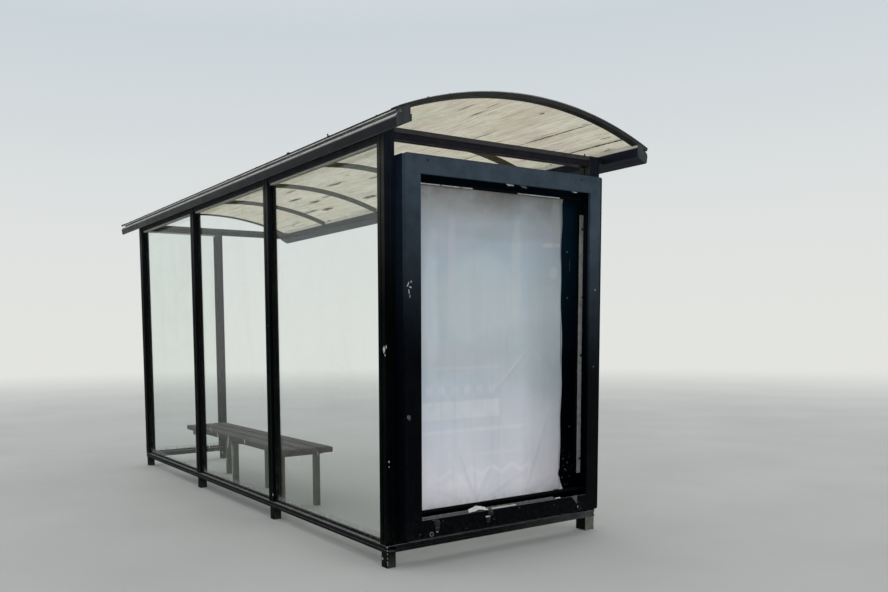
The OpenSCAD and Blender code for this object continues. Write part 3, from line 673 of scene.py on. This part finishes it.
def patch(bm, outline, normal, lift=0.00035):
    """Thin closed plate from an outline on a face."""
    top = [bm.verts.new(Vector(p) + normal * lift) for p in outline]
    low = [bm.verts.new(Vector(p) - normal * 0.0002) for p in outline]
    bm.faces.new(top)
    bm.faces.new(low[::-1])
    for k in range(len(top)):
        j = (k + 1) % len(top)
        bm.faces.new((low[k], low[j], top[j], top[k]))


def flake(bm, centre, face, across, along, rng, points=11, ragged=0.35, lift=0.00035, turn=0.0):
    """Thin ragged patch on a flat face."""
    u, v, normal = face
    c, s = cos(turn), sin(turn)
    outline = []
    for k in range(points):
        angle = 2 * pi * k / points + rng.uniform(-0.2, 0.2)
        reach = 1 + rng.uniform(-ragged, ragged)
        a, b = across * reach * cos(angle) / 2, along * reach * sin(angle) / 2
        outline.append(Vector(centre) + u * (a * c - b * s) + v * (a * s + b * c))
    patch(bm, outline, normal, lift)


def ragged_bar(bm, y0, y1, x0, x1, z0, z1, rng, ragged):
    """Bar along Y with a wavering front and top."""
    count = round((y1 - y0) / 0.012)
    rings = []
    for k in range(count + 1):
        y, xa, zb = y0 + (y1 - y0) * k / count, x0 + rng.uniform(0, ragged), z1 - rng.uniform(0, ragged)
        soft = min(0.0015, (zb - z0) / 3)
        corners = ((xa, z0), (x1, z0), (x1, zb - soft), (x1 - soft, zb), (xa + soft, zb), (xa, zb - soft))
        rings.append([bm.verts.new((cx, y, cz)) for cx, cz in corners])
    tube(bm, rings)


def skin(bm, cols, rows, at, torn=()):
    """Sheet over the points at(column, row), without the torn cells."""
    grid = [[bm.verts.new(at(i, j)) for i in range(cols + 1)] for j in range(rows + 1)]
    for j in range(rows):
        for i in range(cols):
            if (i, j) not in torn:
                bm.faces.new((grid[j][i], grid[j][i + 1], grid[j + 1][i + 1], grid[j + 1][i]))


def on_arc(x, y, radius):
    """Point on a circle about the roof's axis, and the outward direction there."""
    drop = sqrt(radius * radius - y * y)
    return Vector((x, y, ARC_Z + drop)), Vector((0, y, drop)).normalized()


# Roof and frame fittings
FIRST_SCREW_X, SCREW_PITCH, SCREW_Y, COVER_SCREW_X, CLIP_Y = -2.13, 0.475, 0.872, 2.3215, 0.885
SEAL_IN, SEAL_END, SEAL_HALF, SEAL_STEPS, END_POST_X = 2.331, 2.3435, 0.88, 70, 2.0625


def roof_screws():
    """Screws along the eaves and the end arches, and two clips on the back eave."""
    rng = Random(11)
    bm = bmesh.new()
    rows = [(FIRST_SCREW_X + k * SCREW_PITCH, side * SCREW_Y, SHEET_OUT, 0.0055, 0.0028)
            for side in (-1, 1) for k in range(10)]
    rows += [(side * COVER_SCREW_X, y, COVER_OUT, 0.0072, 0.0062)
             for side in (-1, 1) for y in (-0.64, -0.464, -0.26, -0.054, 0.351, 0.558, 0.694)]
    for x, y, radius, size, height in rows:
        hex_head(bm, *on_arc(x, y, radius), size, height, rng.uniform(0, 1))
    for x, wide, tall in ((-1.666, 0.008, 0.013), (-1.183, 0.013, 0.007)):
        neck = wide / 2
        profile = [(wide, -SUNK), (wide, 0.003), (neck, 0.0035), (neck, tall), (wide / 2.4, tall + 0.001)]
        lathe(bm, *on_arc(x, CLIP_Y, SHEET_OUT), profile, 12)
    add("roof_screws", bm, DARK_SCREW, "shelter")


def arch_seals():
    """Ragged pale seal on the outer edge of both end arches, thickest at the crown."""
    rng = Random(23)
    bm = bmesh.new()
    for side in (-1, 1):
        rings = []
        for k in range(SEAL_STEPS + 1):
            y = SEAL_HALF * (2 * k / SEAL_STEPS - 1)
            lift = 0.0012 + 0.0045 * cos(1.7 * y) * rng.uniform(0.75, 1)
            ring = ((SEAL_END, -SUNK), (SEAL_IN, -SUNK), (SEAL_IN, lift), (SEAL_END, lift))
            rings.append([bm.verts.new(on_arc(side * x, y, COVER_OUT + up)[0]) for x, up in ring])
        tube(bm, rings)
    add("arch_seals", bm, SEAL, "shelter")


def post_studs():
    """Threaded studs with nuts on three post tops."""
    bm = bmesh.new()
    back_y, top = (post_low.y + post_high.y) / 2, post_high.z
    front = (front_low + front_high) / 2
    for x, y in ((-END_POST_X, back_y), (front.x + 0.02, front.y + 0.022), (END_POST_X, back_y)):
        lathe(bm, (x, y, top), Z, [(0.013, -SUNK), (0.013, 0.002), (0.012, 0.0024)], 20)
        lathe(bm, (x, y, top + 0.002), Z, [(0.0095, 0), (0.0095, 0.0065), (0.0085, 0.008)], 6)
        thread = [(0.0045 if k % 2 else 0.0038, 0.001 * k + 0.0005) for k in range(17)]
        lathe(bm, (x, y, top + 0.009), Z, [(0.004, 0)] + thread, 12)
    add("post_studs", bm, DARK_SCREW, "shelter")


# Rivets inside the case: y, z, size
INSIDE_RIVETS = (
    (-0.5643, 1.7308, 0.007), (-0.5687, 1.453, 0.0065), (-0.6, 0.66, 0.0045), (-0.548, 0.462, 0.005),
    (-0.585, 0.435, 0.006), (-0.566, 0.395, 0.007), (-0.54, 0.345, 0.006),
)


def case_rivets():
    """Rivets round the back of the case; rivets, a scratch and dirt flakes inside it."""
    bm = bmesh.new()
    inset, size, height = 0.025, 0.0045, 0.0022
    for y in (case_low.y + inset, case_high.y - inset):
        for k in range(9):
            button_head(bm, (case_high.x, y, 0.2 + k * 0.24), X, size, height)
    for z in (case_low.z + inset, case_high.z - inset):
        for k in range(7):
            button_head(bm, (case_high.x, MID_Y - 0.585 + k * 0.195, z), X, size, height)
    add("case_rivets", bm, DARK_SCREW, "shelter", True)
    bm = bmesh.new()
    for y, z, size in INSIDE_RIVETS:
        button_head(bm, (CASE_BACK, y, z), -X, size, 0.003)
    rng = Random(4)
    flake(bm, (CASE_BACK, -0.588, 1.65), NEAR, 0.006, 0.07, rng)
    for k in range(26):
        y, z = rng.uniform(-0.64, -0.475), rng.choice((0.29, 0.36, 0.46)) + rng.uniform(0, 0.06)
        flake(bm, (CASE_BACK, y, z), NEAR, rng.uniform(0.003, 0.008), rng.uniform(0.003, 0.009), rng)
    add("inside_rivets", bm, GREY_CHIP, "shelter", True)


# Chips on the back faces (x, z) and the end face (y, z) of the posts, with width and height
BACK_CHIPS = ((-2.083, 1.166, 0.02, 0.034), (-2.091, 1.136, 0.007, 0.012), (-0.715, 0.171, 0.012, 0.014),
              (0.7, 0.62, 0.005, 0.008), (-0.69, 1.31, 0.004, 0.005))
END_CHIPS = ((0.8025, 1.18, 0.008, 0.022), (0.79, 0.5745, 0.011, 0.013), (0.79, 0.5479, 0.007, 0.008))
FOOT_CHIPS = ((-2.095, 0.8055, 0.117), (-2.095, 0.805, 0.098), (-2.09, 0.801, 0.078), (-2.09, 0.8005, 0.055),
              (-2.09, 0.801, 0.034), (-2.09, 0.799, 0.02))

# Splashes on the panes: x, z, width, height, turn
SPLASHES = (
    (0.318, 0.467, 0.008, 0.05, -0.6), (0.51, 0.371, 0.01, 0.045, -0.5), (0.395, 0.415, 0.006, 0.032, -0.5),
    (0.113, 0.438, 0.01, 0.105, 0.12), (-0.199, 0.473, 0.008, 0.045, -0.5), (-0.16, 0.4, 0.005, 0.03, -0.5),
    (-1.042, 0.449, 0.012, 0.058, -0.6), (-0.922, 0.387, 0.009, 0.042, -0.5), (-1.031, 0.673, 0.008, 0.04, -0.5),
    (-1.3, 0.52, 0.004, 0.026, -0.4), (-1.62, 0.72, 0.004, 0.022, 0.3), (0.23, 0.345, 0.005, 0.03, -0.6),
    (-0.35, 0.62, 0.004, 0.024, -0.4), (1.2, 0.5, 0.005, 0.03, 0.4), (-1.12, 0.6, 0.004, 0.03, -0.5),
    (0.46, 0.5, 0.006, 0.04, -0.6), (0.36, 0.34, 0.006, 0.034, -0.6), (0.15, 0.3, 0.005, 0.03, -0.3),
)


def frame_marks():
    """Chips on the posts that the photograph shows."""
    rng = Random(3)
    bm = bmesh.new()
    for x, z, wide, tall in BACK_CHIPS:
        flake(bm, (x, BACK_FACE, z), BACK, wide, tall, rng)
    for y, z, wide, tall in END_CHIPS:
        flake(bm, (NEAR_FACE, y, z), NEAR, wide, tall, rng)
    for at in FOOT_CHIPS:
        flake(bm, at, NEAR, 0.005, rng.uniform(0.005, 0.009), rng)
    flake(bm, (-2.045, 0.8025, 0.045), BACK, 0.01, 0.014, rng)
    add("frame_chips", bm, CHIP, "shelter")


def pane_marks():
    """Scratches and dried splashes low on the panes."""
    rng = Random(17)
    bm = bmesh.new()
    for x, z, wide, tall, turn in SPLASHES:
        flake(bm, (x, PANE_FACE, z), BACK, wide, tall, rng, 9, 0.3, 0.0003, turn)
    add("pane_marks", bm, GLASS_MARK, "shelter")


# Door fittings
STRIP_END, TAPE_X = 0.6445, DOOR_BACK - 0.011

# Dark, middle and bright plates of the latches, the bright ones pale pieces that stand in for highlights: reach
# of front and back, y from, to, z from, to, bevel
LATCH_PLATES = (
    ((0.011, 0, 0.536, 0.562, 0.186, 0.226, 0.004), (0.009, 0, 0.176, 0.206, 0.193, 0.232, 0.004)),
    ((0.0125, 0.004, 0.5345, 0.5625, 0.206, 0.2125, 0.0025), (0.0018, 0, 0.556, 0.58, 0.2485, 0.255, 0.0006),
     (0.011, 0.002, 0.18, 0.204, 0.193, 0.199, 0.0022), (0.013, 0.002, 0.164, 0.182, 0.247, 0.254, 0.002)),
    ((0.0125, 0.004, 0.548, 0.557, 0.185, 0.1925, 0.0018), (0.012, 0.002, 0.178, 0.212, 0.222, 0.2285, 0.0022)),
)

# Paint chips on the door: y, z, width, height, turn
DOOR_CHIPS = (
    (0.727, 1.5, 0.006, 0.03, 0.5), (0.713, 1.484, 0.018, 0.006, 0.3), (0.723, 1.462, 0.006, 0.026, -0.1),
    (0.709, 1.512, 0.005, 0.01, 0), (0.717, 1.438, 0.004, 0.018, 0.1), (-0.6452, 1.4952, 0.006, 0.009, 0),
    (-0.64, 1.035, 0.005, 0.007, 0), (-0.521, 0.19, 0.004, 0.016, 0.2),
)


def door_fittings():
    """Screws, two latches, the worn ledge strip with its bright edges, and tape on the door."""
    bm = bmesh.new()
    for y, z in ((0.5986, 2.1333), (-0.5227, 2.1317)):
        button_head(bm, (DOOR_X, y, z), -X, 0.0066, 0.0022)
    add("door_screws", bm, DARK_SCREW, "door", True)

    dark, middle, bright = bmesh.new(), bmesh.new(), bmesh.new()
    barrel = [(0.0205, -SUNK), (0.0205, 0.003), (0.0165, 0.006), (0.015, 0.012), (0.012, 0.014)]
    lathe(dark, (DOOR_X, 0.548, 0.233), -X, barrel, 24)
    barrel = [(0.019, -SUNK), (0.019, 0.004), (0.015, 0.009), (0.014, 0.012)]
    lathe(dark, (DOOR_X, 0.172, 0.242), -X, barrel, 24)
    for part, plates in zip((dark, middle, bright), LATCH_PLATES):
        for front, back, y0, y1, z0, z1, bevel in plates:
            bar(part, (DOOR_X - front, y0, z0), (DOOR_X - back, y1, z1), bevel)
    add("door_latches", dark, DARK_SCREW, "door", True)
    add("latch_plates", middle, LATCH_METAL, "door", True)
    # The bright plates are painted highlights on the latches.
    add("latch_highlight_plates", bright, BRIGHT, "door", True)

    rng = Random(8)
    bm = bmesh.new()
    for y0, x0, x1, z0, z1, ragged in ((-0.334, 0.015, 0.0272, -0.0135, 0.0145, 0.0022),
                                       (-0.338, 0.001, 0.0152, -0.0003, 0.001, 0.0006)):
        ragged_bar(bm, y0, STRIP_END, DOOR_X + x0, DOOR_X + x1, OPEN_LOW + z0, OPEN_LOW + z1, rng, ragged)
    add("sill_strip", bm, STRIP_WEAR, "door")
    bm = bmesh.new()
    for y0, y1, tall in ((-0.032, 0.15, 0.0075), (-0.388, -0.345, 0.006)):
        bar(bm, (DOOR_X + 0.0125, y0, OPEN_LOW - SUNK), (DOOR_X + 0.017, y1, OPEN_LOW + tall), 0.0008)
    add("bead_edges", bm, PAPER, "door")

    tape = Random(5)
    bm = bmesh.new()
    for y, wide, tall in ((0.022, 0.052, 0.013), (-0.481, 0.046, 0.009)):
        flake(bm, (TAPE_X, y, OPEN_TOP - tall * 0.3), NEAR, wide, tall, tape, 15, 0.3, 0.0012)
    add("tape_remains", bm, CHIP, "door")
    bm = bmesh.new()
    flake(bm, (TAPE_X, -0.075, OPEN_TOP - 0.003), NEAR, 0.05, 0.014, tape, 11, 0.3, 0.0012, 0.25)
    add("tape_shred", bm, STRIP_WEAR, "door")


def door_marks():
    """Chips and scuffs on the door, and the glued triangle at its lower corner."""
    rng = Random(13)
    bm = bmesh.new()
    for y, z, wide, tall, turn in DOOR_CHIPS:
        flake(bm, (DOOR_X, y, z), NEAR, wide, tall, rng, turn=turn)
    add("door_chips", bm, CHIP, "door")
    bm = bmesh.new()
    flake(bm, (DOOR_X, 0.7269, 0.8115), NEAR, 0.022, 0.026, rng)
    patch(bm, [(DOOR_X, y, z) for y, z in ((-0.464, 0.2605), (-0.516, 0.2635), (-0.5145, 0.21))], -X)
    for k in range(7):
        at = (DOOR_X, rng.uniform(-0.6, 0.7), rng.uniform(0.168, 0.25))
        flake(bm, at, NEAR, rng.uniform(0.004, 0.01), 0.004, rng)
    add("door_scuffs", bm, GREY_CHIP, "door")


def paper_scrap():
    """Crumpled paper on the ledge of the door."""
    rng = Random(31)
    cols, rows = 18, 9

    def at(i, j):
        s, t = i / cols, j / rows
        lump = 0.027 * max(0, 1 - abs(2 * s - 1.05)) ** 0.75 * sin(pi * (0.15 + 0.7 * t)) ** 0.8
        x = DOOR_X + 0.001 + 0.03 * t + rng.uniform(-0.002, 0.002)
        y = 0.18 + 0.137 * s + rng.uniform(-0.0035, 0.0035)
        z = OPEN_LOW + 0.0015 + lump * rng.uniform(0.45, 1) + (0.009 if t > 0.5 else 0)
        return x, y, z

    bm = bmesh.new()
    skin(bm, cols, rows, at)
    add("paper_scrap", bm, PAPER, "door", thick=0.0003)


# Poster
FILM_W, FILM_H = poster_high.y - poster_low.y, poster_high.z - poster_low.z
KINK_Y, CLAMP_LOW, CLAMP_TOP = 0.235, 2.0205, 2.0258

# Creases: ends (y, z), height of the fold and its half width
CREASES = (
    (KINK_Y, 0.3, 0.42, 0.62, 0.003, 0.01), (KINK_Y, 0.3, 0.12, 0.58, 0.0026, 0.01),
    (-0.43, 0.95, -0.15, 1.2, 0.002, 0.012), (-0.43, 1.55, -0.2, 1.5, 0.0028, 0.01),
    (-0.05, 1.95, 0.06, 1.45, 0.002, 0.016), (0.55, 1.1, 0.3, 0.72, 0.0018, 0.013),
    (-0.43, 0.42, -0.22, 0.31, 0.003, 0.012), (-0.38, 1.3, -0.42, 1.8, 0.002, 0.016),
    (-0.3, 2, -0.38, 1.72, 0.0024, 0.01), (0.2, 2.02, 0.45, 1.93, 0.0018, 0.014),
)

# Cells of the film's grid that are torn off at its front corner and foot
TORN = {(i, j) for i in (0, 1) for j in range(9, 14)} | {(2, 10), (2, 11)} | {(i, 0) for i in range(4, 9)}


def film_depth(y, z):
    """How far the film stands behind its flat plane."""
    u, v = (y - poster_low.y) / FILM_W, (z - poster_low.z) / FILM_H
    d = 0.0035 * sin(5.2 * y + 0.7) * sin(pi * v)
    d += 0.002 * sin(23 * y + 1.3) * exp(-v / 0.1) + 0.0016 * sin(17 * y) * exp(-(1 - v) / 0.07)
    d -= 0.006 * exp(-abs(y - KINK_Y) / 0.024) * exp((poster_low.z - z) / 0.09)
    for ya, za, yb, zb, amount, width in CREASES:
        ey, ez = yb - ya, zb - za
        t = ((y - ya) * ey + (z - za) * ez) / (ey * ey + ez * ez)
        if -0.1 < t < 1.1:
            gap = hypot(y - ya - t * ey, z - za - t * ez)
            d += amount * exp(-gap / width) * max(0, 1 - abs(2 * t - 1) ** 3)
    if u < 0.04:
        d += 0.015 * (1 - u / 0.04) ** 2 * (0.35 + 0.65 * sin(2.3 * z + 0.4) ** 2)
    hold = min(1, (1 - v) / 0.02) * min(1, v / 0.012)
    return d * (0.15 + 0.85 * hold)


def poster_sheet():
    """The film, with a bent and torn front edge, hung on its bars."""
    cols, rows = 150, 190

    def at(i, j):
        y, z = poster_low.y + FILM_W * i / cols, poster_low.z + FILM_H * j / rows
        pull = 0.012 * exp(-((z - 1.45) / 0.3) ** 2) - 0.018 * exp(-((z - 0.3) / 0.04) ** 2)
        pull = pull * exp(-i / 7) + 0.003 * sin(19 * z) * exp(-i / 3)
        sag = 0.004 * exp(-abs(y - KINK_Y) / 0.03) * max(0, 1 - j / 3)
        return BAR_X + film_depth(y, z), y + pull, z - sag

    bm = bmesh.new()
    skin(bm, cols, rows, at, TORN)
    for v in [v for v in bm.verts if not v.link_faces]:
        bm.verts.remove(v)
    film = add("poster_sheet", bm, poster_print(), "shelter", True, 0.0005)
    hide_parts("poster")


def film_clamps():
    """Bright metal strips on the upper bar along the film's head, which also stand in for the bar's highlight,
    and brackets over the uprights.
    """
    bm = bmesh.new()
    for y0, y1 in ((0.486, 0.7), (0.35, 0.478), (0.266, 0.342), (-0.388, -0.0605)):
        bar(bm, (BAR_X - 0.0125, y0, CLAMP_LOW), (BAR_X - 0.0065, y1, CLAMP_TOP), 0.0008)
    add("film_clamps", bm, BRIGHT, "shelter")
    bm = bmesh.new()
    for s in (-1, 1):
        y = MID_Y + s * (up_high.y - MID_Y - 0.017)
        bar(bm, (up_low.x - 0.004, y - 0.02, up_high.z + 0.002), (CASE_BACK, y + 0.02, up_high.z + 0.03), 0.002)
        for z in (up_high.z - 0.085, 1.1, up_low.z + 0.09):
            button_head(bm, (up_low.x, y - 0.009, z), -X, 0.0075, 0.002)
    add("upright_brackets", bm, DARK_SCREW, "shelter")
    bm = bmesh.new()
    flake(bm, (up_low.x, up_low.y + 0.003, 1.458), NEAR, 0.009, 0.011, Random(2))
    for y in (case_low.y + 0.042, case_high.y - 0.042):
        bar(bm, (post_low.x + 0.004, y - 0.04, 0.1236), (case_high.x - 0.002, y + 0.04, case_low.z), 0.002)
    add("case_packers", bm, BAR_PAINT, "shelter")


# Bench
def bench():
    """Three worn planks with rounded edges, and bolt heads over the leg frames."""
    width, gap, tall, steps, r = 0.112, 0.014, 0.04, 40, 0.0042
    bm = bmesh.new()
    for k in range(3):
        mid = seat_high.y - k * (width + gap) - width / 2
        rings = []
        for i in range(steps + 1):
            x = seat_low.x + (seat_high.x - seat_low.x) * i / steps
            end = 0.0025 if i in (0, steps) else 0
            ring = []
            for cy, cz in ((-1, -1), (1, -1), (1, 1), (-1, 1)):
                for a in range(4):
                    angle = atan2(cz, cy) + radians(-45 + 30 * a)
                    oy = cy * (width / 2 - r - end) + r * cos(angle)
                    oz = cz * (tall / 2 - r - end) + r * sin(angle)
                    wear = 0
                    if oz > 0:
                        wear = 0.0004 * sin(3.1 * x + k * 2) - 0.0006 * (1 - (2 * oy / width) ** 2)
                    ring.append(bm.verts.new((x, mid + oy, seat_high.z - tall / 2 - 0.0004 + oz + wear)))
            rings.append(ring)
        tube(bm, rings)
    planks = add("bench_planks", bm, TIMBER, "shelter", True)
    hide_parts("bench_seat")
    bm = bmesh.new()
    middle, reach = (seat_low.x + seat_high.x) / 2, (seat_high.x - seat_low.x) / 2 - 0.18
    for x in (middle - reach, middle, middle + reach):
        for k in range(3):
            for off in (0.028, 0.084):
                at = (x, seat_high.y - k * (width + gap) - off, seat_high.z - 0.0008)
                lathe(bm, at, Z, [(0.01, -0.002), (0.0098, 0.0008), (0.008, 0.0022), (0.004, 0.003)], 20)
    add("bench_bolts", bm, STEEL, "shelter", True)


roof_screws()
arch_seals()
post_studs()
case_rivets()
frame_marks()
pane_marks()
door_fittings()
door_marks()
paper_scrap()
poster_sheet()
film_clamps()
bench()

# Stage, light and camera
SKY = ((0, (0.765, 0.775, 0.745)), (0.12, (0.74, 0.76, 0.75)), (0.34, (0.6, 0.66, 0.7)),
       (0.6, (0.84, 0.87, 0.89)), (1, (1, 1, 1)))
FLOOR_RADIUS, FADE_FROM, FADE_TO = 120, 5, 24


def stage():
    """Plain floor that fades into the sky far away."""
    n = Nodes("stage_floor")
    tone = n.blend(n.mottle(0.7, 5, 0.3, 0.7), (0.5, 0.5, 0.49), (0.56, 0.56, 0.545))
    base = n.surface(tone, 0.9, 0.1, n.bump(n.noise(90, 4), 0.2, 0.002))
    far = n.get("Emission", {0: SKY[0][1], 1: 1})
    fade = n.span(n.reach(n.x, n.y), FADE_FROM, FADE_TO, kind="SMOOTHSTEP")
    bm = bmesh.new()
    bmesh.ops.create_circle(bm, cap_ends=True, segments=96, radius=FLOOR_RADIUS)
    build("stage_floor", bm, n.finish(n.mix(fade, base, far)))


def soft_sky():
    """Even overcast light: pale near the ground, a little greyer above it, bright overhead."""
    n = Nodes("soft_sky", bpy.data.worlds.new("soft_sky"))
    height = n.make("SeparateXYZ", {0: n.coord["Generated"]}).outputs[2]
    sky = n.make("ValToRGB", {0: height})
    fill_ramp(sky.color_ramp, SKY)
    bpy.context.scene.world = n.finish(n.get("Background", {0: sky.outputs[0]}))


def photo_camera():
    """The camera fitted to the photograph, whose optical centre lies off its middle."""
    width, height, sensor = 888, 592, 36
    spot = (-5.5779, 3.1367, 1.2504)
    focal, centre = 804.266, (354.61, 402.681)
    azimuth, elevation, roll = (radians(a) for a in (238.4525, 4.9049, -0.6487))
    level = cos(elevation)
    back = Vector((sin(azimuth) * level, -cos(azimuth) * level, sin(elevation)))
    right = (-back).cross(Z).normalized()
    up = right.cross(-back)
    right, up = cos(roll) * right + sin(roll) * up, cos(roll) * up - sin(roll) * right
    data = bpy.data.cameras.new("camera")
    data.sensor_width = sensor
    data.lens = focal / width * sensor
    data.shift_x = (width / 2 - centre[0]) / width
    data.shift_y = (centre[1] - height / 2) / width
    data.clip_end = 400
    camera = place("camera", data)
    camera.matrix_world = Matrix.Translation(spot) @ Matrix((right, up, back)).transposed().to_4x4()
    bpy.context.scene.camera = camera


stage()
soft_sky()
photo_camera()
bpy.context.scene.view_settings.view_transform = "Standard"
